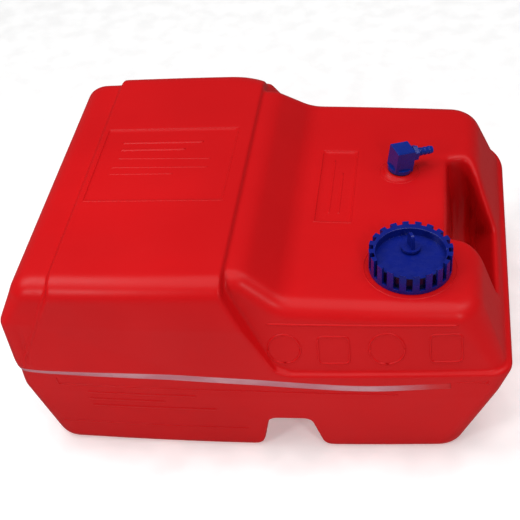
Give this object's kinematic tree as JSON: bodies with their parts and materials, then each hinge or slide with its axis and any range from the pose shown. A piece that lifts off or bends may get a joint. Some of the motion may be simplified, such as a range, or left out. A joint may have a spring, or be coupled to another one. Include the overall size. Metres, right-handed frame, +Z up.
{
  "type": "outboard fuel tank",
  "caption": "Portable boat fuel tank: blow-moulded shell with a tall hump, a lower deck with vented screw cap and pickup elbow, a moulded carrying bar and a strap channel.",
  "frame": {"origin": "middle of the tank, at the height of the surface that it stands on", "axes": "+X along the tank towards the carrying bar, -Y to the front with the level strip, +Z up"},
  "size_m": [0.5, 0.4, 0.229],
  "materials": {
    "tank_plastic": "satin blow-moulded polyethylene, lightly flow-marked",
    "strip_plastic": "undyed, translucent polyethylene",
    "cap_plastic": "satin injection-moulded polypropylene",
    "fitting_plastic": "satin injection-moulded nylon",
    "inner_plastic": "natural, undyed plastic",
    "seal_rubber": "fuel-proof nitrile rubber",
    "clip_steel": "plain stainless spring steel",
    "mesh_steel": "fine woven stainless gauze",
    "insert_brass": "machined brass"
  },
  "bodies": {
    "tank": {"tank_shell": "tank_plastic", "level_strip": "strip_plastic", "pickup_insert": "insert_brass"},
    "cap_ring": {"cap_gasket": "seal_rubber"},
    "cap": {"filler_cap": "cap_plastic", "vent_baffle": "inner_plastic"},
    "vent_ring": {"vent_seal": "seal_rubber"},
    "vent": {"vent_screw": "cap_plastic", "vent_retainer": "clip_steel"},
    "pickup": {"pickup_elbow": "fitting_plastic", "elbow_gasket": "seal_rubber", "barb_seal": "seal_rubber", "hose_barb": "fitting_plastic", "pickup_tube": "inner_plastic", "strainer_cage": "inner_plastic", "strainer_mesh": "mesh_steel"}
  },
  "joints": [
    {"name": "cap_rise", "type": "slide", "parent": "tank", "child": "cap_ring", "axis": [0.0499, 0, 0.9988], "range_m": [0, 0.01]},
    {"name": "cap_turn", "type": "hinge", "parent": "cap_ring", "child": "cap", "pos_m": [0.152, -0.115, 0.1889], "axis": [0.0499, 0, 0.9988], "range_deg": [0, 720]},
    {"name": "vent_rise", "type": "slide", "parent": "cap", "child": "vent_ring", "axis": [0.0499, 0, 0.9988], "range_m": [0, 0.002]},
    {"name": "vent_turn", "type": "hinge", "parent": "vent_ring", "child": "vent", "pos_m": [0.152, -0.1075, 0.1889], "axis": [0.0499, 0, 0.9988], "range_deg": [0, 720]},
    {"name": "elbow_swivel", "type": "hinge", "parent": "tank", "child": "pickup", "pos_m": [0.136, 0.038, 0.1897], "axis": [0.1736, 0, 0.9848], "continuous": true}
  ],
  "couplings": [
    {"joint": "cap_rise", "follows": "cap_turn", "m_per_rad": 0.00079577},
    {"joint": "vent_turn", "follows": "vent_rise", "rad_per_m": 6283.1}
  ]
}
